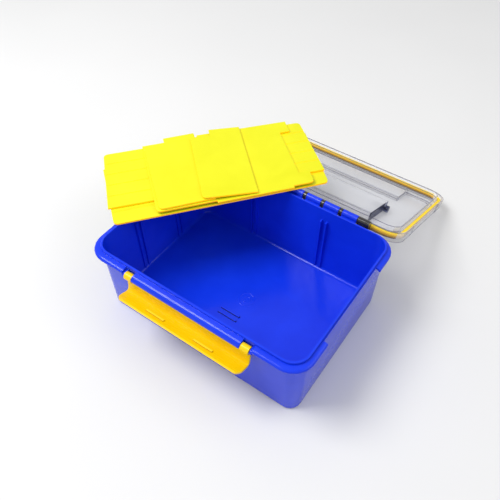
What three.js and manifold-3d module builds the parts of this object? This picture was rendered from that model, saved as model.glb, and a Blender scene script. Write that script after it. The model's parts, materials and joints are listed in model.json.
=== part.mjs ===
// Lidded storage box with a swing-over latch, a clear hinged lid with a seal and a
// fold-down carry handle, and five loose divider plates stacked across one corner.
// Millimetres, +Z up. Origin: centre of the flat underside of the box.
// X runs along the latch side, -Y is the latch side, +Y is the hinge side.
import * as THREE from 'three';
import { mergeVertices } from 'three/addons/utils/BufferGeometryUtils.js';
import Module from 'manifold-3d';

const wasm = await Module();
wasm.setup();

// ---- Driving dimensions -------------------------------------------------------
const GAP = 0.3;                 // play between neighbouring pieces

const BOX = {
  height: 99,                    // top of the sealing ridge
  openX: 130, openY: 94.5,       // half size of the mouth
  footX: 130.2, footY: 93.5,     // half size of the underside
  wall: 2.3, floor: 2.2,
  mouthRadius: 17.5, footRadius: 14,
  footFillet: 3, floorFillet: 4.5, lipRound: 0.5,
};
const FLANGE = {
  outX: 138.6, outY: 102.3, centreY: -2, radius: 25,
  top: 96, bottom: 91.6, thick: 2.2,
};
const RIB = { x: 49, y: 33, spacing: 7, wide: 2, proud: 1.6, top: 84 };
const FLOOR_BAR = { from: -12, to: 14, wide: 2.2, high: 2.4 };
const GRIP = { halfY: 55, outX: 133.6, lidX: 136.2, bottom: 80 };  // finger grips, both sides
const LATCH = {
  axisY: -101.6, axisZ: 90.2,    // pivot line
  halfX: 80, knuckleIn: 70.3,    // a knuckle stands between these two distances
  knuckleR: 4.4, pinR: 1.5, earR: 3.1, earWide: 2.8, earGap: 0.6, pinShort: 1.1,
  lipY: -123, lipRadius: 9, barX: 31.5, barHalf: 12,
};
const COVER = { halfX: 69.6, outY: -106, bottom: 90 };  // rim cover between the knuckles
const HINGE = {
  axisY: 105, axisZ: 97.8,
  barrelR: 4.2, knuckleR: 4.0, clearR: 4.5, pinR: 1.5, boreR: 1.7,
  firstKnuckle: 15.3, pitch: 23.8, knuckleW: 4, play: 0.4,
  endKnuckleTo: 100, endWall: 1.5, slotX: 73, slotHalf: 6.5,
};
const LID = {
  open: -204,                    // degrees, from shut to lying open behind the box
  skirtX: 137.6, skirtY: 102.3, radius: 23.5,
  bottom: 96.6, shoulder: 110, top: 113.8, sheet: 2.0,
  domeX: 125.5, domeY: 90,
  plugX: 129.3, plugY: 93.8,     // inner wall that locates in the mouth of the box
  plugRadius: 16.8, plugSheet: 1.8, plugBottom: 93.5,
};
const SEAL = { centreX: 132.5, centreY: 97.2, width: 4.6, bottom: 99.3, top: 105.5, radius: 18.7 };
const CATCH = { halfX: 82.2, outY: -102.8, inY: -86, top: 110.6 };
const RECESS = { halfX: 85, backY: -50, floor: 108.4 };  // finger recess behind the latch lip
const POCKET = { halfX: 84, frontY: 1, backY: 58.5, floor: 103.2 };  // holds the carry handle
const HANDLE = {
  axisY: 9, axisZ: 108.2, outX: 82.6, barX: 11, barY: 12, reach: 41, thick: 8, pinR: 1.8,
  corner: 10, innerCorner: 6, bossR: 4.4, bossTo: 8, pinTo: 5.8,
};
const PLATE = {
  thick: 2.2, pitch: 2.5, height: 95, longTop: 259.8, longFoot: 254.6,
  bands: 5, grooveWide: 1.2, grooveDeep: 0.4, corner: 6,
};
const WIDE = {
  length: 187.5, height: 118.5, step: 3.2, stepFrom: 70, stepTo: 162,
  notchDepth: 13, notchFrom: 20, notchTo: 98,
};
const SHORT = { length: 65, height: 110, tab: 12.2, tabWidth: 39.5, chamfer: 0.8 };
const STACK = { x: -131.7, y: -61.2, z: BOX.height + GAP, turn: 50.3, tilt: 1.11 };

const ARC = 7;                   // segments in a rounded corner
const ROUND = 24;                // segments round a barrel or pin
const OVER = 5;                  // how far a cutting tool runs past what it cuts

// ---- Colours --------------------------------------------------------------------
const finish = (color, roughness, metalness = 0, extra = {}) =>
  new THREE.MeshStandardMaterial({ color, roughness, metalness, ...extra });
const BLUE = () => finish(0x1a35d8, 0.3);
const YELLOW = () => finish(0xf9f01e, 0.4);
const AMBER = () => finish(0xffc400, 0.3);
const SEAL_YELLOW = () => finish(0xf6c200, 0.55);
const CLEAR = () => finish(0xe8ecf2, 0.08, 0, { transparent: true, opacity: 0.35 });
const STEEL = () => finish(0xb9bcc2, 0.25, 1);

// ---- Solids ----------------------------------------------------------------------
function closedMesh(geometry) {
  geometry.deleteAttribute('normal');
  geometry.deleteAttribute('uv');
  const merged = mergeVertices(geometry, 1e-4);
  return new wasm.Manifold(new wasm.Mesh({
    numProp: 3,
    vertProperties: new Float32Array(merged.attributes.position.array),
    triVerts: new Uint32Array(merged.index.array),
  }));
}

function asGeometry(manifold) {
  const mesh = manifold.getMesh();
  const geometry = new THREE.BufferGeometry();
  geometry.setAttribute('position', new THREE.BufferAttribute(new Float32Array(mesh.vertProperties), 3));
  geometry.setIndex(new THREE.BufferAttribute(new Uint32Array(mesh.triVerts), 1));
  geometry.computeVertexNormals();
  return geometry;
}

const join = (...solids) => solids.reduce((whole, solid) => whole.add(solid));
const cut = (whole, ...tools) => tools.reduce((left, tool) => left.subtract(tool), whole);

function block(x0, x1, y0, y1, z0, z1) {
  const geometry = new THREE.BoxGeometry(x1 - x0, y1 - y0, z1 - z0);
  geometry.translate((x0 + x1) / 2, (y0 + y1) / 2, (z0 + z1) / 2);
  return closedMesh(geometry);
}

// A cylinder whose axis runs along X.
function rod(x0, x1, y, z, radius) {
  const geometry = new THREE.CylinderGeometry(radius, radius, x1 - x0, ROUND);
  geometry.rotateZ(-Math.PI / 2);
  geometry.translate((x0 + x1) / 2, y, z);
  return closedMesh(geometry);
}

// An outline in the Y-Z plane, carried along X.
function alongX(points, x0, x1) {
  const shape = new THREE.Shape(points.map(([y, z]) => new THREE.Vector2(y, z)));
  const geometry = new THREE.ExtrudeGeometry(shape, { depth: x1 - x0, bevelEnabled: false });
  geometry.applyMatrix4(new THREE.Matrix4().makeBasis(
    new THREE.Vector3(0, 1, 0), new THREE.Vector3(0, 0, 1), new THREE.Vector3(1, 0, 0)));
  geometry.translate(x0, 0, 0);
  return closedMesh(geometry);
}

// A flat plate: an outline in the X-Y plane, from z0 to z0 + depth.
function plate(shape, z0, depth) {
  const geometry = new THREE.ExtrudeGeometry(shape, { depth, bevelEnabled: false, curveSegments: 5 });
  geometry.translate(0, 0, z0);
  return closedMesh(geometry);
}

// One ring of a rounded rectangle, counter-clockwise seen from above.
function ring({ x, y, r, z, cy = 0 }) {
  const points = [];
  const corners = [[1, 1, 0], [-1, 1, 90], [-1, -1, 180], [1, -1, 270]];
  for (const [sx, sy, start] of corners) {
    for (let i = 0; i <= ARC; i++) {
      const angle = THREE.MathUtils.degToRad(start + (90 * i) / ARC);
      points.push(new THREE.Vector3(
        sx * (x - r) + r * Math.cos(angle), cy + sy * (y - r) + r * Math.sin(angle), z));
    }
  }
  return points;
}

// Skin over a list of rings: capped at both ends, or closed on itself like a frame.
function loft(sections, closed = false) {
  const rings = sections.map(ring);
  const count = rings[0].length;
  const positions = rings.flat().flatMap((p) => [p.x, p.y, p.z]);
  const index = [];
  const spans = closed ? rings.length : rings.length - 1;
  for (let i = 0; i < spans; i++) {
    const low = i * count;
    const high = ((i + 1) % rings.length) * count;
    for (let j = 0; j < count; j++) {
      const k = (j + 1) % count;
      index.push(low + j, low + k, high + k, low + j, high + k, high + j);
    }
  }
  if (!closed) {
    const last = (rings.length - 1) * count;
    for (let j = 1; j < count - 1; j++) {
      index.push(0, j + 1, j, last, last + j, last + j + 1);
    }
  }
  const geometry = new THREE.BufferGeometry();
  geometry.setAttribute('position', new THREE.Float32BufferAttribute(positions, 3));
  geometry.setIndex(signedVolume(rings.flat(), index) < 0 ? flipped(index) : index);
  return closedMesh(geometry);
}

function signedVolume(points, index) {
  let volume = 0;
  for (let i = 0; i < index.length; i += 3) {
    const [a, b, c] = [points[index[i]], points[index[i + 1]], points[index[i + 2]]];
    volume += a.dot(new THREE.Vector3().crossVectors(b, c));
  }
  return volume;
}

function flipped(index) {
  const out = [];
  for (let i = 0; i < index.length; i += 3) out.push(index[i], index[i + 2], index[i + 1]);
  return out;
}

const mix = (a, b, t) => a + (b - a) * t;
const both = [-1, 1];

// The span from near to far, on one side of the middle or mirrored to the other.
const mirrored = (side, near, far) => (side < 0 ? [-far, -near] : [near, far]);

// ---- Container -----------------------------------------------------------------
// Outer wall at height z, and the inner wall that follows it.
function wallAt(z, inset = 0) {
  const t = z / BOX.height;
  return {
    x: mix(BOX.footX, BOX.openX + BOX.wall, t) - inset,
    y: mix(BOX.footY, BOX.openY + BOX.wall, t) - inset,
    r: mix(BOX.footRadius, BOX.mouthRadius + BOX.wall, t) - inset,
    z,
  };
}

function filletSections(radius, base, ringAt) {
  const steps = 4;
  return Array.from({ length: steps + 1 }, (_, i) => {
    const angle = (Math.PI / 2) * (i / steps);
    return ringAt(base + radius * (1 - Math.cos(angle)), radius * (1 - Math.sin(angle)));
  });
}

function boxShell() {
  const outer = loft([
    ...filletSections(BOX.footFillet, 0, (z, inset) => wallAt(z, inset)),
    wallAt(BOX.height - BOX.lipRound),
    { ...wallAt(BOX.height, BOX.lipRound), z: BOX.height },
  ]);
  const cavity = loft([
    ...filletSections(BOX.floorFillet, BOX.floor, (z, inset) => wallAt(z, BOX.wall + inset)),
    wallAt(BOX.height + OVER, BOX.wall),
  ]);
  return cut(outer, cavity);
}

// The rolled flange round the mouth: a top plate and a turned-down edge.
function flangeSection(offset, z) {
  return {
    x: FLANGE.outX - offset, y: FLANGE.outY - offset, r: FLANGE.radius - offset,
    z, cy: FLANGE.centreY,
  };
}

function flange() {
  const wallZ = FLANGE.top - FLANGE.thick - 0.2;
  const midWall = {
    x: BOX.openX + BOX.wall / 2, y: BOX.openY + BOX.wall / 2, r: BOX.mouthRadius + BOX.wall / 2,
  };
  return loft([
    { ...midWall, z: wallZ },
    flangeSection(4, wallZ - 0.5),
    flangeSection(2.4, wallZ - 1.3),
    flangeSection(1.9, FLANGE.bottom),
    flangeSection(0.2, FLANGE.bottom),
    flangeSection(0, FLANGE.bottom + 0.3),
    flangeSection(0, FLANGE.top - 2.6),
    flangeSection(0.5, FLANGE.top - 1.5),
    flangeSection(1.6, FLANGE.top - 0.7),
    flangeSection(3.4, FLANGE.top - 0.2),
    { ...midWall, z: FLANGE.top },
  ], true);
}

// Raised rim between the latch knuckles, sloping out over the pivot line.
function latchCover() {
  const y = COVER.outY;
  return alongX([
    [-95.6, 96.2], [-99.4, 95.9], [-102.6, 95.1], [-104.6, 93.6], [y + 0.2, 91.8],
    [y, COVER.bottom], [y + 1.6, COVER.bottom], [-102.6, 93], [-99.4, 93.9], [-95.6, 94.2],
  ], -COVER.halfX, COVER.halfX);
}

function gripCut(side) {
  const [x0, x1] = mirrored(side, GRIP.outX, FLANGE.outX + OVER);
  return block(x0, x1, -GRIP.halfY, GRIP.halfY, GRIP.bottom, BOX.height + OVER);
}

// Pairs of upright ribs on the inside walls: each pair holds a divider's edge.
function ribs() {
  const low = BOX.floor / 2;
  const half = RIB.wide / 2;
  const nearX = BOX.footX - BOX.wall - RIB.proud;
  const nearY = BOX.footY - BOX.wall - RIB.proud;
  const solids = [];
  for (const wall of both) {
    const [x0, x1] = mirrored(wall, nearX, BOX.openX + BOX.wall / 2);
    const [y0, y1] = mirrored(wall, nearY, BOX.openY + BOX.wall / 2);
    for (const pair of both) {
      for (const step of both) {
        const x = pair * RIB.x + (step * RIB.spacing) / 2;
        const y = pair * RIB.y + (step * RIB.spacing) / 2;
        solids.push(block(x - half, x + half, y0, y1, low, RIB.top));
        solids.push(block(x0, x1, y - half, y + half, low, RIB.top));
      }
    }
  }
  const inWall = BOX.wall / 4;
  return join(...solids).intersect(loft([
    { ...wallAt(0, inWall), z: 0 }, { ...wallAt(BOX.height, inWall), z: BOX.height },
  ]));
}

// Two short floor bars hold the foot of a long divider at mid span.
function floorBars() {
  const { from, to, wide, high } = FLOOR_BAR;
  return join(...both.map((step) => {
    const y = -RIB.y + (step * RIB.spacing) / 2;
    return block(from, to, y - wide / 2, y + wide / 2, BOX.floor / 2, BOX.floor + high);
  }));
}

// Lid knuckles stand at these places along the hinge line.
const knuckleCentres = both.flatMap((side) =>
  [0, 1, 2, 3].map((k) => side * (HINGE.firstKnuckle + k * HINGE.pitch))).sort((a, b) => a - b);

function boxBarrels() {
  const solids = [];
  const tools = [];
  const { axisY, axisZ, barrelR, slotX, slotHalf } = HINGE;
  const apart = HINGE.knuckleW / 2 + HINGE.play;
  for (let i = 0; i < knuckleCentres.length - 1; i++) {
    const x0 = knuckleCentres[i] + apart;
    const x1 = knuckleCentres[i + 1] - apart;
    solids.push(rod(x0, x1, axisY, axisZ, barrelR));
    solids.push(block(x0, x1, BOX.openY + BOX.wall, axisY, axisZ - barrelR, FLANGE.top));
  }
  for (const side of both) {                       // moulding slots in the end barrels
    const x = side * slotX;
    tools.push(block(x - slotHalf, x + slotHalf, axisY + 2, axisY + OVER, axisZ + 1, axisZ + OVER));
  }
  return { solid: join(...solids), slots: join(...tools) };
}

// A notch through the rim leaves each latch knuckle free to turn.
function knuckleNotch(side) {
  const [x0, x1] = mirrored(side, LATCH.knuckleIn - LATCH.earGap, earOut);
  const back = LATCH.axisY + LATCH.knuckleR + GAP;
  return block(x0, x1, COVER.outY - OVER, back, GRIP.bottom, BOX.height);
}

function container() {
  const barrels = boxBarrels();
  const mouth = loft([
    { ...wallAt(0, BOX.wall), z: -OVER }, { ...wallAt(BOX.height, BOX.wall), z: BOX.height + OVER },
  ]);
  const rim = cut(flange(), gripCut(-1), gripCut(1)).add(latchCover());
  const rimAndBarrels = cut(join(rim, barrels.solid), mouth, ...both.map(knuckleNotch));
  return cut(
    join(boxShell(), rimAndBarrels, ribs(), floorBars(), latchEars()),
    barrels.slots,
    rod(-HINGE.endKnuckleTo, HINGE.endKnuckleTo, HINGE.axisY, HINGE.axisZ, HINGE.boreR),
    ...both.map(pinHole));
}

// Two ears beside each latch knuckle carry the stub pin.
const earIn = LATCH.knuckleIn - LATCH.earGap - LATCH.earWide;
const earOut = LATCH.halfX + LATCH.earGap + LATCH.earWide;

function latchEars() {
  const { axisY, axisZ, earR, earWide } = LATCH;
  const solids = [];
  for (const side of both) {
    for (const [near, far] of [[earIn, earIn + earWide], [earOut - earWide, earOut]]) {
      const [x0, x1] = mirrored(side, near, far);
      solids.push(rod(x0, x1, axisY, axisZ, earR));
      solids.push(block(x0, x1, axisY, -BOX.openY - BOX.wall / 2, axisZ - earR, axisZ + earR));
    }
  }
  return join(...solids);
}

function pinHole(side) {
  const endWall = LATCH.pinShort - GAP;
  const [x0, x1] = mirrored(side, earIn + endWall, earOut - endWall);
  return rod(x0, x1, LATCH.axisY, LATCH.axisZ, LATCH.pinR + GAP);
}

function latchPin(side) {
  const [x0, x1] = mirrored(side, earIn + LATCH.pinShort, earOut - LATCH.pinShort);
  return rod(x0, x1, LATCH.axisY, LATCH.axisZ, LATCH.pinR);
}

// ---- Latch, drawn hanging open --------------------------------------------------
function latch() {
  const face = [[-101.7, 83.4], [-102, 79], [-102.6, 73], [-103.5, 69.3], [-105.4, 67.5],
    [-108, 68], [-113.7, 70.1], [-118.1, 72.2], [-120.6, 73.2]];
  const back = [[-122.2, 72.2], [-121.6, 70.4], [-118.8, 69.6], [-114.6, 67.6], [-109, 65.5],
    [-105, 64.9], [-102.6, 65.9], [-101, 68.4], [-100.2, 73], [-99.6, 79], [-99.4, 83.4]];
  const body = alongX([...face, ...back], -LATCH.halfX, LATCH.halfX);
  // The two corners of the lip are rounded in plan.
  const { halfX, lipY, lipRadius: r } = LATCH;
  const lip = new THREE.Shape();
  lip.moveTo(-halfX, -BOX.openY);
  lip.lineTo(-halfX, lipY + r);
  lip.absarc(-halfX + r, lipY + r, r, Math.PI, 1.5 * Math.PI, false);
  lip.lineTo(halfX - r, lipY);
  lip.absarc(halfX - r, lipY + r, r, 1.5 * Math.PI, 2 * Math.PI, false);
  lip.lineTo(halfX, -BOX.openY);
  lip.closePath();
  const trimmed = body.intersect(plate(lip, 0, BOX.height));
  const knuckles = both.map((side) => {
    const [x0, x1] = mirrored(side, LATCH.knuckleIn, halfX);
    return join(
      rod(x0, x1, LATCH.axisY, LATCH.axisZ, LATCH.knuckleR),
      alongX([[-106.1, 89], [-104.8, 85.6], [-101.75, 83], [-99.35, 83], [-98.2, 87],
        [-98, 90]], x0, x1));
  });
  const bars = both.map((side) => {                // two raised grip bars on the lip
    const x = side * LATCH.barX;
    return alongX([[-113.0, 69.5], [-113.1, 70.9], [-115.6, 72.1], [-116.0, 70.7]],
      x - LATCH.barHalf, x + LATCH.barHalf);
  });
  return cut(join(trimmed, ...knuckles, ...bars),
    rod(-halfX - OVER, halfX + OVER, LATCH.axisY, LATCH.axisZ, LATCH.pinR + GAP));
}

// ---- Lid and seal, drawn shut ----------------------------------------------------
const section = (x, y, r, z) => ({ x, y, r, z });

function lidShell() {
  const channelX = SEAL.centreX + SEAL.width / 2 + GAP;
  const channelY = SEAL.centreY + SEAL.width / 2 + GAP;
  const channelR = SEAL.radius + SEAL.width / 2 + GAP;
  const innerX = SEAL.centreX - SEAL.width / 2 - GAP;
  const innerY = SEAL.centreY - SEAL.width / 2 - GAP;
  const innerR = SEAL.radius - SEAL.width / 2 - GAP;
  const channelTop = SEAL.top + GAP;
  const { domeX, domeY, top, shoulder, skirtX, skirtY, radius, bottom, sheet } = LID;
  const { plugX, plugY, plugRadius, plugSheet, plugBottom } = LID;
  return loft([
    section(domeX - 3.4, domeY - 3.4, 9, top),
    section(domeX - 1.2, domeY - 1.2, 11, top - 1),
    section(domeX, domeY, 12.4, top - 3.2),
    section(domeX + 0.6, domeY + 0.6, 13, shoulder + 0.8),
    section(domeX + 1.4, domeY + 1.4, 14, shoulder),
    section(skirtX - 1.8, skirtY - 1.8, radius - 1.8, shoulder),
    section(skirtX - 0.3, skirtY - 0.3, radius - 0.3, shoulder - 1.4),
    section(skirtX, skirtY, radius, bottom + 0.4),
    section(skirtX - 0.4, skirtY - 0.4, radius - 0.4, bottom),
    section(channelX, channelY, channelR, bottom),
    section(channelX, channelY, channelR, channelTop),
    section(innerX, innerY, innerR, channelTop),
    section(innerX, innerY, innerR, SEAL.bottom + 0.8),
    section(plugX, plugY, plugRadius, SEAL.bottom),
    section(plugX, plugY, plugRadius, plugBottom + 0.6),
    section(plugX - 0.4, plugY - 0.4, plugRadius - 0.4, plugBottom),
    section(plugX - plugSheet, plugY - plugSheet, plugRadius - plugSheet, plugBottom),
    section(plugX - plugSheet - 0.4, plugY - plugSheet, plugRadius - plugSheet, channelTop - 4),
    section(domeX - sheet, domeY - sheet, 10.6, top - 3.6),
    section(domeX - sheet - 2, domeY - sheet - 2, 8.6, top - sheet),
  ]);
}

function lidGripCut(side) {
  const [x0, x1] = mirrored(side, GRIP.lidX, LID.skirtX + OVER);
  return block(x0, x1, -GRIP.halfY, GRIP.halfY, LID.bottom - OVER, LID.shoulder + 2);
}

function lidCatch() {
  const { halfX, outY, inY, top } = CATCH;
  return alongX([
    [outY + 2.2, LID.shoulder - 1], [outY, LID.shoulder - 4], [outY, top - 1.4], [outY + 1.4, top],
    [inY, top], [inY + 2, RECESS.floor], [inY + 1, RECESS.floor - 1.8], [inY - 2, RECESS.floor - 1.8],
    [-90, LID.shoulder - 1.4], [-94, LID.shoulder - 1.4],
  ], -halfX, halfX);
}

function lidKnuckles() {
  const solids = [];
  knuckleCentres.forEach((x, i) => {
    let [x0, x1] = [x - HINGE.knuckleW / 2, x + HINGE.knuckleW / 2];
    if (i === 0) x0 = -HINGE.endKnuckleTo;
    if (i === knuckleCentres.length - 1) x1 = HINGE.endKnuckleTo;
    solids.push(rod(x0, x1, HINGE.axisY, HINGE.axisZ, HINGE.knuckleR));
    solids.push(alongX([
      [99.95, 99], [100.7, HINGE.axisZ], [108.6, HINGE.axisZ], [108.2, 100], [105.6, 103.6],
      [102.2, LID.shoulder - 0.6], [99.95, LID.shoulder - 0.6],
    ], x0, x1));
  });
  return join(...solids);
}

function lidPanel() {
  const t = LID.sheet;
  const handleBlock = block(-POCKET.halfX - t, POCKET.halfX + t, POCKET.frontY - t, POCKET.backY + t,
    POCKET.floor - t, LID.top - 0.5);
  const recessBlock = block(-RECESS.halfX - t, RECESS.halfX + t, -89, RECESS.backY + t,
    RECESS.floor - t, LID.shoulder + 1);
  const bosses = both.map((side) => {
    const [x0, x1] = mirrored(side, POCKET.halfX + t / 2, POCKET.halfX + HANDLE.bossTo);
    return join(
      rod(x0, x1, HANDLE.axisY, HANDLE.axisZ, HANDLE.bossR),
      block(x0, x1, HANDLE.axisY - 1, HANDLE.axisY + 1, HANDLE.axisZ, LID.top - 1));
  });
  const barrelsTo = knuckleCentres[knuckleCentres.length - 1];
  const shell = cut(lidShell(), lidGripCut(-1), lidGripCut(1),
    rod(-barrelsTo, barrelsTo, HINGE.axisY, HINGE.axisZ, HINGE.clearR));
  const above = LID.top + OVER;
  const boreTo = HINGE.endKnuckleTo - HINGE.endWall;
  const pinBoreTo = POCKET.halfX + HANDLE.pinTo + 2 * GAP;
  return cut(
    join(shell, handleBlock, recessBlock, lidKnuckles(), ...bosses),
    block(-POCKET.halfX, POCKET.halfX, POCKET.frontY, POCKET.backY, POCKET.floor, above),
    block(-RECESS.halfX, RECESS.halfX, -87, RECESS.backY, RECESS.floor, above),
    block(-CATCH.halfX, CATCH.halfX, CATCH.outY, CATCH.inY, CATCH.top, above),
    rod(-boreTo, boreTo, HINGE.axisY, HINGE.axisZ, HINGE.boreR),
    rod(-pinBoreTo, pinBoreTo, HANDLE.axisY, HANDLE.axisZ, HANDLE.pinR + GAP),
  ).add(lidCatch());
}

function sealRing() {
  const { centreX, centreY, width, bottom, top, radius } = SEAL;
  const at = (side, z) => ({
    x: centreX + (side * width) / 2, y: centreY + (side * width) / 2,
    r: radius + (side * width) / 2, z,
  });
  return loft([at(0.5, bottom), at(1, bottom + 1), at(1, top), at(-1, top), at(-1, bottom + 1),
    at(-0.5, bottom)], true);
}

// ---- Carry handle, drawn folded into the lid's pocket ----------------------------
function carryHandle() {
  const { axisY, axisZ, outX, barX, barY, reach, thick, corner: r, innerCorner: s } = HANDLE;
  const outline = new THREE.Shape();
  outline.moveTo(-outX, axisY);
  outline.lineTo(outX, axisY);
  outline.lineTo(outX, axisY + reach - r);
  outline.absarc(outX - r, axisY + reach - r, r, 0, Math.PI / 2, false);
  outline.lineTo(-outX + r, axisY + reach);
  outline.absarc(-outX + r, axisY + reach - r, r, Math.PI / 2, Math.PI, false);
  outline.closePath();
  const hole = new THREE.Path();
  const inner = outX - barX;
  const front = axisY - OVER;
  const back = axisY + reach - barY;
  hole.moveTo(-inner, front);
  hole.lineTo(-inner, back - s);
  hole.absarc(-inner + s, back - s, s, Math.PI, Math.PI / 2, true);
  hole.lineTo(inner - s, back);
  hole.absarc(inner - s, back - s, s, Math.PI / 2, 0, true);
  hole.lineTo(inner, front);
  const body = plate(outline, axisZ - thick / 2, thick)
    .add(rod(-outX, outX, axisY, axisZ, thick / 2));
  const windowShape = new THREE.Shape(hole.getPoints(6));
  const opening = plate(windowShape, axisZ - thick, thick * 2);
  return cut(body, opening, rod(-outX - OVER, outX + OVER, axisY, axisZ, HANDLE.pinR + GAP));
}

function handlePin(side) {
  const [x0, x1] = mirrored(side, HANDLE.outX - HANDLE.barX + 1, POCKET.halfX + HANDLE.pinTo);
  return rod(x0, x1, HANDLE.axisY, HANDLE.axisZ, HANDLE.pinR);
}

// ---- Divider plates ---------------------------------------------------------------
// Outline of a long divider: foot edge at y = 0 with rounded corners, top edge at y = height.
function longOutline() {
  const { longTop, longFoot, height, corner: r } = PLATE;
  const shape = new THREE.Shape();
  shape.moveTo(-longFoot / 2 + r, 0);
  shape.lineTo(longFoot / 2 - r, 0);
  shape.quadraticCurveTo(longFoot / 2, 0, longFoot / 2 + 0.2, r);
  shape.lineTo(longTop / 2, height);
  shape.lineTo(-longTop / 2, height);
  shape.lineTo(-longFoot / 2 - 0.2, r);
  shape.quadraticCurveTo(-longFoot / 2, 0, -longFoot / 2 + r, 0);
  return shape;
}

function longDivider() {
  const { thick, height, longTop, bands, grooveWide, grooveDeep } = PLATE;
  const grooves = [];
  for (let i = 1; i < bands; i++) {
    const y = (height * i) / bands;
    grooves.push(block(-longTop, longTop, y - grooveWide / 2, y + grooveWide / 2,
      thick - grooveDeep, thick + OVER));
  }
  return cut(plate(longOutline(), 0, thick), ...grooves);
}

// Wide divider: foot on the left, finger cut-out in the right end, a step on each long side.
function wideDivider() {
  const { length: w, height: d, step, stepFrom, stepTo, notchDepth, notchFrom, notchTo } = WIDE;
  const r = PLATE.corner;
  const shape = new THREE.Shape();
  shape.moveTo(r, 0);
  shape.lineTo(stepFrom, 0);
  shape.lineTo(stepFrom, -step);
  shape.lineTo(stepTo, -step);
  shape.lineTo(stepTo, 0);
  shape.lineTo(w - r, 0);
  shape.quadraticCurveTo(w, 0, w, r);
  shape.lineTo(w, notchFrom);
  shape.lineTo(w - notchDepth, notchFrom);
  shape.lineTo(w - notchDepth, notchTo);
  shape.lineTo(w, notchTo);
  shape.lineTo(w, d);
  shape.lineTo(stepFrom, d + step);
  shape.lineTo(stepFrom, d);
  shape.lineTo(0, d);
  shape.lineTo(0, r);
  shape.quadraticCurveTo(0, 0, r, 0);
  return plate(shape, 0, PLATE.thick);
}

// Short divider: foot on the left, hanging tab at the far end.
function shortDivider() {
  const { length: w, height: d, tab, tabWidth, chamfer } = SHORT;
  const r = PLATE.corner;
  const shape = new THREE.Shape();
  shape.moveTo(r, 0);
  shape.lineTo(w, 0);
  shape.lineTo(w, d + tab - chamfer);
  shape.lineTo(w - chamfer, d + tab);
  shape.lineTo(w - tabWidth, d + tab);
  shape.lineTo(w - tabWidth, d);
  shape.lineTo(0, d);
  shape.lineTo(0, r);
  shape.quadraticCurveTo(0, 0, r, 0);
  return plate(shape, 0, PLATE.thick);
}

// ---- Assembly -----------------------------------------------------------------------
function named(name, solid, material) {
  const mesh = new THREE.Mesh(asGeometry(solid), material);
  mesh.name = name;
  return mesh;
}

const hingePinTo = HINGE.endKnuckleTo - HINGE.endWall - 2 * GAP;
const group = new THREE.Group();
group.add(named('container', container(), BLUE()));
group.add(named('front_latch', latch(), AMBER()));
group.add(named('latch_pin_left', latchPin(-1), STEEL()));
group.add(named('latch_pin_right', latchPin(1), STEEL()));
group.add(named('lid_hinge_pin',
  rod(-hingePinTo, hingePinTo, HINGE.axisY, HINGE.axisZ, HINGE.pinR), STEEL()));

// The lid is drawn shut, then swung open about the hinge line.
const lidDrawnShut = new THREE.Group();
lidDrawnShut.position.set(0, -HINGE.axisY, -HINGE.axisZ);
const lidSwing = new THREE.Group();
lidSwing.position.set(0, HINGE.axisY, HINGE.axisZ);
lidSwing.rotation.x = THREE.MathUtils.degToRad(LID.open);
lidSwing.add(lidDrawnShut);
lidDrawnShut.add(named('lid_panel', lidPanel(), CLEAR()));
lidDrawnShut.add(named('lid_gasket', sealRing(), SEAL_YELLOW()));
lidDrawnShut.add(named('carry_handle', carryHandle(), CLEAR()));
lidDrawnShut.add(named('handle_pin_left', handlePin(-1), STEEL()));
lidDrawnShut.add(named('handle_pin_right', handlePin(1), STEEL()));
group.add(lidSwing);

// The divider stack lies across one corner, on the left rim and the hinge barrels.
const stackTilt = new THREE.Group();
stackTilt.position.set(0, STACK.y, STACK.z);
stackTilt.rotation.x = THREE.MathUtils.degToRad(STACK.tilt);
const stack = new THREE.Group();
stack.position.set(STACK.x, 0, 0);
stack.rotation.z = THREE.MathUtils.degToRad(STACK.turn);
stackTilt.add(stack);
group.add(stackTilt);

function stacked(mesh, level, x, y, turn = 0, lean = 0) {
  const turning = new THREE.Group();
  turning.position.set(x, y, level * PLATE.pitch);
  turning.rotation.z = THREE.MathUtils.degToRad(turn);
  mesh.rotation.y = THREE.MathUtils.degToRad(lean);
  turning.add(mesh);
  stack.add(turning);
}

stacked(named('long_divider_1', longDivider(), YELLOW()), 0, 125.2, 0);
stacked(named('long_divider_2', longDivider(), YELLOW()), 1, 125.8, 117.2, 179);
stacked(named('wide_divider', wideDivider(), YELLOW()), 2, 47, 1.2, -0.2);
stacked(named('short_divider_1', shortDivider(), YELLOW()), 3, 50.6, 2.2, 0.6);
stacked(named('short_divider_2', shortDivider(), YELLOW()), 4.2, 100.6, 3.4, -3.6, 2.4);

export default group;
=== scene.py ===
import json
import math

import bmesh
import bpy
from mathutils import Matrix, Vector


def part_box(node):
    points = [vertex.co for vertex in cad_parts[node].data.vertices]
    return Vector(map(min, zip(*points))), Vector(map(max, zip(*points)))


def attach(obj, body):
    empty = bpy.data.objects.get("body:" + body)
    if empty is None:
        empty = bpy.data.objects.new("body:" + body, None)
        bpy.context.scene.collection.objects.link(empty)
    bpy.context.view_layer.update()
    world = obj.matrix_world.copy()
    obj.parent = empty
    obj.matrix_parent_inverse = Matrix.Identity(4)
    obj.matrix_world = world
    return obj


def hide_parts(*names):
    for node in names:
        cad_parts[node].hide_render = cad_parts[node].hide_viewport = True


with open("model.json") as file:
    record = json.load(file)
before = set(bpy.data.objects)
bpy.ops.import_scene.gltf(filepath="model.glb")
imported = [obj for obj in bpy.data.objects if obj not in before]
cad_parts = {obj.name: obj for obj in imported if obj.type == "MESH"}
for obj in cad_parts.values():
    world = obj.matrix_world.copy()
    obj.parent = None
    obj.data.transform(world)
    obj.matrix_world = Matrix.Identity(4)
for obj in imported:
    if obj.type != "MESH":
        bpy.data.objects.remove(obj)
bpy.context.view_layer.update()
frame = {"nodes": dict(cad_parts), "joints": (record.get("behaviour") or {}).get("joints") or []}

# ---- Frame values --------------------------------------------------------------------
JOINTS = {joint["name"]: joint for joint in frame["joints"]}
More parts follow.
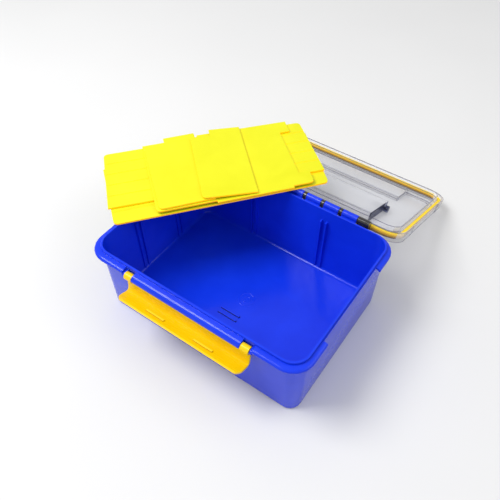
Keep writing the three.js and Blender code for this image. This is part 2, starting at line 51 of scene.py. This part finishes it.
HINGE_Y, HINGE_Z = JOINTS["lid_hinge"]["pos_m"][1:]
HANDLE_Y, HANDLE_Z = JOINTS["handle_hinge"]["pos_m"][1:]
BOSS_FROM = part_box("carry_handle")[1].x  # the lid's bosses stand just outside the handle
LID_OPEN = math.radians(JOINTS["lid_hinge"]["range_deg"][1])
MM = 0.001

# The lid lies turned back by LID_OPEN: this points out of its open side.
LID_OUT = Vector((0, -math.sin(LID_OPEN), -math.cos(LID_OPEN)))


def reach_along(node, direction):
    """How far a node reaches each way along a direction."""
    along = [v.co.dot(direction) for v in frame["nodes"][node].data.vertices]
    return min(along), max(along)


SEAL_DEEP, SEAL_SHOWN = reach_along("lid_gasket", LID_OUT)


# ---- Node helpers ----------------------------------------------------------------------
def new_material(name):
    material = bpy.data.materials.new(name)
    material.use_nodes = True
    tree = material.node_tree
    tree.nodes.clear()
    output = tree.nodes.new("ShaderNodeOutputMaterial")
    shader = tree.nodes.new("ShaderNodeBsdfPrincipled")
    tree.links.new(shader.outputs["BSDF"], output.inputs["Surface"])
    return material, tree, shader, output


def set_sockets(shader, **values):
    """Sets constants on the shader itself; an underscore stands for a space in a name."""
    for name, value in values.items():
        shader.inputs[name.replace("_", " ")].default_value = value


def stretched_position(tree, stretch=(1, 1, 1)):
    """Object coordinates, in metres, squeezed so that a pattern runs long along one axis."""
    place = tree.nodes.new("ShaderNodeTexCoord")
    mapping = tree.nodes.new("ShaderNodeMapping")
    mapping.inputs["Scale"].default_value = stretch
    tree.links.new(place.outputs["Object"], mapping.inputs["Vector"])
    return mapping.outputs["Vector"]


def noise(tree, position, scale, detail=2.0, distortion=0.0):
    node = tree.nodes.new("ShaderNodeTexNoise")
    node.inputs["Scale"].default_value = scale
    node.inputs["Detail"].default_value = detail
    node.inputs["Distortion"].default_value = distortion
    tree.links.new(position, node.inputs["Vector"])
    return node.outputs["Fac"]


def ramp(tree, factor, stops):
    node = tree.nodes.new("ShaderNodeValToRGB")
    elements = node.color_ramp.elements
    while len(elements) < len(stops):
        elements.new(0.5)
    for element, (place, colour) in zip(elements, stops):
        element.position = place
        element.color = (*colour, 1)
    tree.links.new(factor, node.inputs["Fac"])
    return node.outputs["Color"]


def spread(tree, factor, low, high):
    """Stretches the middle of a noise pattern over the range from low to high."""
    node = tree.nodes.new("ShaderNodeMapRange")
    node.inputs["From Min"].default_value = 0.3
    node.inputs["From Max"].default_value = 0.7
    node.inputs["To Min"].default_value = low
    node.inputs["To Max"].default_value = high
    tree.links.new(factor, node.inputs["Value"])
    return node.outputs["Result"]


def bump(tree, layers):
    """Chains bump nodes: each layer is (height socket, strength, depth in metres)."""
    last = None
    for height, strength, depth in layers:
        node = tree.nodes.new("ShaderNodeBump")
        node.inputs["Strength"].default_value = strength
        node.inputs["Distance"].default_value = depth
        tree.links.new(height, node.inputs["Height"])
        if last is not None:
            tree.links.new(last, node.inputs["Normal"])
        last = node.outputs["Normal"]
    return last


# ---- Materials ---------------------------------------------------------------------------
def moulded_plastic(name, shades, gloss, grain=0.05, flow=0.12, **sockets):
    """Injection-moulded plastic: cloudy pigment, flow waves, fine tool grain and hairline scuffs."""
    material, tree, shader, _ = new_material(name)
    position = stretched_position(tree)
    along = stretched_position(tree, (0.35, 1.0, 1.0))
    cloud = noise(tree, position, 22, detail=3, distortion=0.4)
    pigment = ramp(tree, cloud, [(0.3, shades[0]), (0.7, shades[1])])
    tree.links.new(pigment, shader.inputs["Base Color"])
    scuffs = noise(tree, stretched_position(tree, (1.0, 9.0, 3.0)), 130, detail=4)
    tree.links.new(spread(tree, scuffs, gloss[0], gloss[1]), shader.inputs["Roughness"])
    normal = bump(tree, [
        (noise(tree, along, 34, detail=1.5), flow, 0.4 * MM),
        (noise(tree, position, 2600, detail=2), grain, 0.05 * MM),
    ])
    tree.links.new(normal, shader.inputs["Normal"])
    set_sockets(shader, **sockets)
    return material


def box_blue():
    """The glossy royal blue of the box."""
    return moulded_plastic(
        "box_blue", [(0.004, 0.034, 0.68), (0.006, 0.043, 0.76)], (0.15, 0.23),
        grain=0.03, flow=0.04, IOR=1.36)


def divider_yellow():
    """The broad faces of the divider plates: satin lemon yellow."""
    return moulded_plastic(
        "divider_yellow", [(0.70, 0.69, 0.006), (0.75, 0.74, 0.012)], (0.36, 0.5),
        grain=0.08, IOR=1.34)


def divider_edge_painted_glow():
    """The sheared edges of the plates: a deeper orange yellow with a painted glow from emission, in
    place of the light that gathers in the plate.
    """
    return moulded_plastic(
        "divider_edge_painted_glow", [(0.94, 0.48, 0.001), (0.98, 0.58, 0.002)], (0.36, 0.5),
        grain=0.08, IOR=1.34, Emission_Color=(1.0, 0.46, 0.0, 1), Emission_Strength=0.5)


def box_blue_painted_shade():
    """Painted shade: a dark blue for the steep sides of the small floor bars, where they lie in their
    own shade.
    """
    return moulded_plastic(
        "box_blue_painted_shade", [(0.001, 0.006, 0.17), (0.002, 0.008, 0.21)], (0.2, 0.3),
        grain=0.03, flow=0.04, IOR=1.36)


def latch_amber():
    """The orange yellow of the latch."""
    return moulded_plastic(
        "latch_amber", [(0.88, 0.56, 0.001), (0.92, 0.61, 0.002)], (0.22, 0.3),
        grain=0.03, flow=0.015, IOR=1.38)


def latch_painted_shade():
    """Painted shade: a deeper amber for the steep sides of the grip bars."""
    return moulded_plastic(
        "latch_painted_shade", [(0.55, 0.24, 0.001), (0.62, 0.29, 0.001)], (0.25, 0.35),
        grain=0.03, flow=0.015, IOR=1.38)


def latch_crest_painted_highlight():
    """Painted highlight: a lighter, glossier amber for the crests of the grip bars."""
    return moulded_plastic(
        "latch_crest_painted_highlight", [(0.96, 0.76, 0.03), (0.98, 0.80, 0.05)], (0.15, 0.22),
        grain=0.03, flow=0.015, IOR=1.45)


def seal_rubber():
    """Painted shade: bright where the strip shows in the channel's mouth, darkening deep in the
    channel; the same colour also goes out as a painted glow.
    """
    material, tree, shader, _ = new_material("seal_rubber")
    position = stretched_position(tree)
    deep = tree.nodes.new("ShaderNodeVectorMath")
    deep.operation = "DOT_PRODUCT"
    deep.inputs[1].default_value = LID_OUT
    tree.links.new(position, deep.inputs[0])
    level = tree.nodes.new("ShaderNodeMapRange")
    level.inputs["From Min"].default_value = SEAL_SHOWN
    level.inputs["From Max"].default_value = SEAL_DEEP
    tree.links.new(deep.outputs["Value"], level.inputs["Value"])
    # Painted shade: the colour darkens with depth in the channel.
    shade = ramp(tree, level.outputs["Result"], [
        (0.0, (0.98, 0.70, 0.008)), (0.3, (0.90, 0.54, 0.004)), (0.6, (0.45, 0.24, 0.004)),
        (0.85, (0.16, 0.08, 0.006)), (1.0, (0.05, 0.035, 0.02))])
    cloud = noise(tree, position, 60, detail=3)
    worn = tree.nodes.new("ShaderNodeMix")
    worn.data_type = "RGBA"
    worn.blend_type = "MULTIPLY"
    worn.inputs["Factor"].default_value = 0.25
    tree.links.new(shade, worn.inputs["A"])
    tree.links.new(ramp(tree, cloud, [(0.3, (0.8, 0.8, 0.8)), (0.7, (1, 1, 1))]), worn.inputs["B"])
    tree.links.new(worn.outputs["Result"], shader.inputs["Base Color"])
    tree.links.new(spread(tree, noise(tree, position, 700, 3), 0.42, 0.6), shader.inputs["Roughness"])
    normal = bump(tree, [(noise(tree, position, 3000, 2), 0.12, 0.06 * MM)])
    tree.links.new(normal, shader.inputs["Normal"])
    # Painted glow: the shaded colour also goes out as emission.
    tree.links.new(shade, shader.inputs["Emission Color"])
    set_sockets(shader, IOR=1.45, Emission_Strength=0.25)
    return material


def clear_plastic(name, tint, body, least, most):
    """Clear plastic: a see-through wall that turns glossy and pale grey towards its edges."""
    material, tree, shader, output = new_material(name)
    position = stretched_position(tree)
    cloud = noise(tree, position, 14, detail=2)
    shade = ramp(tree, cloud, [(0.3, body), (0.7, tuple(0.06 + 0.94 * c for c in body))])
    tree.links.new(shade, shader.inputs["Base Color"])
    wear = noise(tree, stretched_position(tree, (1.0, 12.0, 4.0)), 160, detail=4)
    tree.links.new(spread(tree, wear, 0.03, 0.09), shader.inputs["Roughness"])
    set_sockets(shader, IOR=1.5)
    see_through = tree.nodes.new("ShaderNodeBsdfTransparent")
    see_through.inputs["Color"].default_value = (*tint, 1)
    mirror = tree.nodes.new("ShaderNodeFresnel")
    mirror.inputs["IOR"].default_value = 1.45
    share = tree.nodes.new("ShaderNodeMapRange")
    share.inputs["To Min"].default_value = least
    share.inputs["To Max"].default_value = most
    tree.links.new(mirror.outputs["Fac"], share.inputs["Value"])
    mix = tree.nodes.new("ShaderNodeMixShader")
    tree.links.new(share.outputs["Result"], mix.inputs["Fac"])
    tree.links.new(see_through.outputs["BSDF"], mix.inputs[1])
    tree.links.new(shader.outputs["BSDF"], mix.inputs[2])
    tree.links.new(mix.outputs["Shader"], output.inputs["Surface"])
    return material


def knuckle_painted_shade():
    """Painted shade: near-black for the clear hinge knuckles, in place of the dark seen through their
    thick plastic.
    """
    return moulded_plastic(
        "knuckle_painted_shade", [(0.010, 0.009, 0.010), (0.028, 0.025, 0.024)], (0.1, 0.2),
        grain=0.03, IOR=1.5, Coat_Weight=0.4, Coat_Roughness=0.06)


def drawn_steel():
    """Drawn wire: fine streaks along its length."""
    material, tree, shader, _ = new_material("drawn_steel")
    along = stretched_position(tree, (0.05, 1.0, 1.0))
    streaks = noise(tree, along, 2600, detail=3)
    colour = ramp(tree, streaks, [(0.3, (0.40, 0.40, 0.42)), (0.7, (0.58, 0.58, 0.60))])
    tree.links.new(colour, shader.inputs["Base Color"])
    tree.links.new(spread(tree, streaks, 0.2, 0.36), shader.inputs["Roughness"])
    normal = bump(tree, [(streaks, 0.15, 0.03 * MM)])
    tree.links.new(normal, shader.inputs["Normal"])
    set_sockets(shader, Metallic=1.0)
    return material


MATERIALS = {
    "box_plastic": box_blue(),
    "latch_plastic": latch_amber(),
    "divider_plastic": divider_yellow(),
    "clear_plastic": clear_plastic(
        "clear_plastic", (0.992, 0.992, 0.996), (0.93, 0.94, 0.97), 0.0, 0.6),
    "gasket_rubber": seal_rubber(),
    "pin_steel": drawn_steel(),
}
# Painted glow for the plates' sides and grooves.
EDGE = divider_edge_painted_glow()
# Painted shade: grey lines on the lid's rounded edges, in place of the refraction there.
CLEAR_EDGE_PAINTED_SHADE = clear_plastic("clear_edge_painted_shade", (0.50, 0.50, 0.57), (0.24, 0.25, 0.33), 0.1, 0.85)
CLEAR_DEEP = clear_plastic("clear_deep", (0.22, 0.25, 0.42), (0.06, 0.07, 0.14), 0.35, 0.9)
KNUCKLE_PAINTED_SHADE = knuckle_painted_shade()
PAINTED_BAR_SHADE = box_blue_painted_shade()
LATCH_PAINTED_SHADE = latch_painted_shade()
LATCH_PAINTED_HIGHLIGHT = latch_crest_painted_highlight()


# ---- Refined copies of the CAD pieces ----------------------------------------------------
WELD = 0.004 * MM
FLAT_WITHIN = math.radians(0.7)
SMOOTH_UNDER = math.radians(34)
BEVEL_OVER = math.radians(38)


def clean_mesh(node, name):
    """The CAD solid with its triangles merged back into whole faces."""
    built = bmesh.new()
    built.from_mesh(frame["nodes"][node].data)
    bmesh.ops.remove_doubles(built, verts=built.verts, dist=WELD)
    bmesh.ops.dissolve_limit(
        built, angle_limit=FLAT_WITHIN, use_dissolve_boundaries=False,
        verts=built.verts, edges=built.edges)
    built.verts.ensure_lookup_table()
    corners = [v.co.copy() for v in built.verts]
    faces = [[v.index for v in f.verts] for f in built.faces]
    built.free()
    mesh = bpy.data.meshes.new(name)
    mesh.from_pydata(corners, [], faces)
    mesh.validate()
    mesh.polygons.foreach_set("use_smooth", [True] * len(mesh.polygons))
    mesh.set_sharp_from_angle(angle=SMOOTH_UNDER)
    return mesh


def link(name, mesh):
    piece = bpy.data.objects.new(name, mesh)
    bpy.context.scene.collection.objects.link(piece)
    return piece


def round_edges(piece, width, segments=3, clamp=True):
    bevel = piece.modifiers.new("rounded_edges", "BEVEL")
    bevel.width = width
    bevel.segments = segments
    bevel.limit_method = "ANGLE"
    bevel.angle_limit = BEVEL_OVER
    bevel.use_clamp_overlap = clamp
    bevel.miter_outer = "MITER_ARC"
    weights = piece.modifiers.new("even_shading", "WEIGHTED_NORMAL")
    weights.keep_sharp = True


def refined(node, name, body, slot, width, segments=3, clamp=True):
    piece = link(name, clean_mesh(node, name))
    piece.data.materials.append(MATERIALS[slot])
    if width:
        round_edges(piece, width, segments, clamp)
    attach(piece, body)
    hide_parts(node)
    return piece


box = refined("container", "box_moulding", "box", "box_plastic", 0)
latch = refined("front_latch", "latch_moulding", "latch", "latch_plastic", 0.5 * MM, 3)
lid = refined("lid_panel", "lid_moulding", "lid", "clear_plastic", 0.45 * MM, 2, clamp=False)
refined("lid_gasket", "seal_strip", "lid", "gasket_rubber", 0.5 * MM, 3)
refined("carry_handle", "handle_moulding", "handle", "clear_plastic", 0.8 * MM, 3)
refined("lid_hinge_pin", "hinge_pin_wire", "box", "pin_steel", 0.3 * MM, 2)
for side in ("left", "right"):
    refined(f"latch_pin_{side}", f"latch_pin_wire_{side}", "box", "pin_steel", 0.3 * MM, 2)
    refined(f"handle_pin_{side}", f"handle_pin_wire_{side}", "lid", "pin_steel", 0.3 * MM, 2)


# ---- Moulding marks on the floor of the box ---------------------------------------------
def ring_mark(name, centre, radius, section):
    """A low ring turned round a centre: section is (distance from the radius, height) points."""
    sides = 64
    built = bmesh.new()
    loops = []
    for i in range(sides):
        turn = 2 * math.pi * i / sides
        loops.append([
            built.verts.new((centre[0] + (radius + out) * math.cos(turn),
                             centre[1] + (radius + out) * math.sin(turn), centre[2] + up))
            for out, up in section])
    for i in range(sides):
        here, there = loops[i], loops[(i + 1) % sides]
        for j in range(len(section)):
            k = (j + 1) % len(section)
            built.faces.new((here[j], there[j], there[k], here[k]))
    bmesh.ops.recalc_face_normals(built, faces=built.faces)
    mesh = bpy.data.meshes.new(name)
    built.to_mesh(mesh)
    built.free()
    mesh.polygons.foreach_set("use_smooth", [True] * len(mesh.polygons))
    piece = link(name, mesh)
    piece.data.materials.append(MATERIALS["box_plastic"])
    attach(piece, "box")


RING_CENTRE = (6 * MM, -3 * MM, 2.2 * MM)  # on the floor of the box
LOW_BEAD = [(-0.9 * MM, -0.3 * MM), (-0.5 * MM, 0.1 * MM), (0, 0.22 * MM), (0.5 * MM, 0.1 * MM),
            (0.9 * MM, -0.3 * MM)]
ring_mark("gate_ring_small", RING_CENTRE, 4.5 * MM, LOW_BEAD)
ring_mark("gate_ring_large", RING_CENTRE, 9.5 * MM, LOW_BEAD)

# ---- Second materials on parts of a moulding ----------------------------------------------
STEEP = 0.5                      # a face whose normal rises less than this counts as a side
ROUND_PIN = 5.4 * MM             # how far round a hinge line the lid's own material changes
KNUCKLE_SLOT, EDGE_SLOT, BOSS_SLOT = 1, 2, 3

FLOOR_BAR_LEVELS = (2.3 * MM, 5.5 * MM)
FLOOR_BAR_REACH = (60 * MM, 75 * MM)

GRIP_BAR_X = (19.2 * MM, 43.8 * MM)
GRIP_BAR_Y = (-116.3 * MM, -112.7 * MM)
GRIP_BAR_Z = (69.2 * MM, 72.4 * MM)
CREST = 0.8                      # a grip bar's face that rises more than this is its crest


def within(value, limits):
    return limits[0] < value < limits[1]


def shade_lid():
    """Painted near-black shade on the knuckles of the hinge line, dark blue-grey bosses beside the
    handle, painted grey shade on the rounded edges.
    """
    for material in (KNUCKLE_PAINTED_SHADE, CLEAR_EDGE_PAINTED_SHADE, CLEAR_DEEP):
        lid.data.materials.append(material)
    lid.modifiers["rounded_edges"].material = EDGE_SLOT
    for face in lid.data.polygons:
        centre = face.center
        if math.hypot(centre.y - HINGE_Y, centre.z - HINGE_Z) < ROUND_PIN:
            face.material_index = KNUCKLE_SLOT
        by_handle = math.hypot(centre.y - HANDLE_Y, centre.z - HANDLE_Z) < ROUND_PIN
        if by_handle and abs(centre.x) > BOSS_FROM:
            face.material_index = BOSS_SLOT


def shade_floor_bars():
    """Painted shade on the steep sides of the bars moulded on the floor of the box."""
    low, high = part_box("container")
    middle = (low.x + high.x) / 2
    box.data.materials.append(PAINTED_BAR_SHADE)
    for face in box.data.polygons:
        centre = face.center
        by_floor = within(centre.z, FLOOR_BAR_LEVELS)
        inside = abs(centre.x - middle) < FLOOR_BAR_REACH[0] and abs(centre.y) < FLOOR_BAR_REACH[1]
        if by_floor and inside and abs(face.normal.z) < STEEP:
            face.material_index = 1


def shade_grip_bars():
    """The two grip bars on the lip of the latch: painted shade on the steep sides, painted highlight
    on the crests.
    """
    latch.data.materials.append(LATCH_PAINTED_SHADE)
    latch.data.materials.append(LATCH_PAINTED_HIGHLIGHT)
    corners = latch.data.vertices
    for face in latch.data.polygons:
        on_bar = all(
            within(abs(corners[i].co.x), GRIP_BAR_X) and within(corners[i].co.y, GRIP_BAR_Y)
            and within(corners[i].co.z, GRIP_BAR_Z) for i in face.vertices)
        if on_bar:
            face.material_index = 2 if face.normal.z > CREST else 1


shade_lid()
shade_floor_bars()
shade_grip_bars()

# ---- Divider plates --------------------------------------------------------------------
PLATES = {
    "long_divider_1": "long_plate_1",
    "long_divider_2": "long_plate_2",
    "wide_divider": "wide_plate",
    "short_divider_1": "short_plate_1",
    "short_divider_2": "short_plate_2",
}
GROOVE_AREA = 0.5e-3             # square metres: a flat face smaller than this lies in a groove


def divider(node, body):
    """A plate whose sides and grooves get the deeper yellow with the painted glow."""
    piece = refined(node, f"{node}_plate", body, "divider_plastic", 0.35 * MM, 2)
    piece.data.materials.append(EDGE)
    for face in piece.data.polygons:
        if abs(face.normal.z) < STEEP or face.area < GROOVE_AREA:
            face.material_index = 1


for plate_node, plate_body in PLATES.items():
    divider(plate_node, plate_body)


# ---- Studio ------------------------------------------------------------------------------
FLOOR_HALF = 30.0
FLOOR_DROP = -0.3 * MM           # just under the box, so that the two never share a plane

CAMERA_PLACE = (0.237722, -0.326641, 0.554727)
CAMERA_BACK = (0.37563, -0.53538, 0.75649)
CAMERA_ROLL = math.radians(0.124)
CAMERA_LENS = 40.228


def plain_floor():
    half, drop = FLOOR_HALF, FLOOR_DROP
    mesh = bpy.data.meshes.new("studio_floor")
    mesh.from_pydata(
        [(-half, -half, drop), (half, -half, drop), (half, half, drop), (-half, half, drop)],
        [], [(0, 1, 2, 3)])
    floor = link("studio_floor", mesh)
    material, tree, shader, _ = new_material("studio_paper")
    paper = noise(tree, stretched_position(tree), 3, detail=2)
    tree.links.new(ramp(tree, paper, [(0.3, (0.73, 0.73, 0.73)), (0.7, (0.75, 0.75, 0.75))]),
                   shader.inputs["Base Color"])
    set_sockets(shader, Roughness=0.8, Specular_IOR_Level=0.1)
    floor.data.materials.append(material)


def studio_world():
    """White overhead, falling to a pale grey near the horizon."""
    world = bpy.data.worlds.new("studio")
    world.use_nodes = True
    bpy.context.scene.world = world
    tree = world.node_tree
    background = tree.nodes["Background"]
    place = tree.nodes.new("ShaderNodeTexCoord")
    split = tree.nodes.new("ShaderNodeSeparateXYZ")
    tree.links.new(place.outputs["Generated"], split.inputs["Vector"])
    sky = ramp(tree, split.outputs["Z"], [
        (0.0, (0.80, 0.81, 0.85)), (0.2, (0.86, 0.87, 0.90)), (0.5, (1.0, 1.0, 1.0))])
    tree.links.new(sky, background.inputs["Color"])
    background.inputs["Strength"].default_value = 0.66


def soft_box(name, place, target, width, height, power):
    data = bpy.data.lights.new(name, "AREA")
    data.shape = "RECTANGLE"
    data.size = width
    data.size_y = height
    data.energy = power
    lamp = bpy.data.objects.new(name, data)
    lamp.location = place
    lamp.rotation_mode = "QUATERNION"
    lamp.rotation_quaternion = (Vector(target) - Vector(place)).to_track_quat("-Z", "Y")
    bpy.context.scene.collection.objects.link(lamp)


def camera():
    """The photo's view, as it was fitted to points along the rim and floor of the box."""
    data = bpy.data.cameras.new("camera")
    data.sensor_width = 36
    data.lens = CAMERA_LENS
    data.clip_start = 0.01
    data.clip_end = 50
    eye = bpy.data.objects.new("camera", data)
    back = Vector(CAMERA_BACK).normalized()
    level = Vector((0, 0, 1)).cross(back).normalized()
    upward = back.cross(level)
    right = level * math.cos(CAMERA_ROLL) + upward * math.sin(CAMERA_ROLL)
    up = upward * math.cos(CAMERA_ROLL) - level * math.sin(CAMERA_ROLL)
    turned = Matrix((right, up, back)).transposed().to_4x4()
    eye.matrix_world = Matrix.Translation(CAMERA_PLACE) @ turned
    bpy.context.scene.collection.objects.link(eye)
    bpy.context.scene.camera = eye


plain_floor()
studio_world()
soft_box("key_softbox", (-0.75, -0.5, 1.5), (0, 0, 0.05), 0.8, 0.8, 22)
soft_box("fill_softbox", (1.2, 0.5, 1.2), (0, 0.1, 0.05), 1.2, 1.2, 5)
camera()
bpy.context.scene.view_settings.view_transform = "Standard"
bpy.context.scene.view_settings.look = "None"
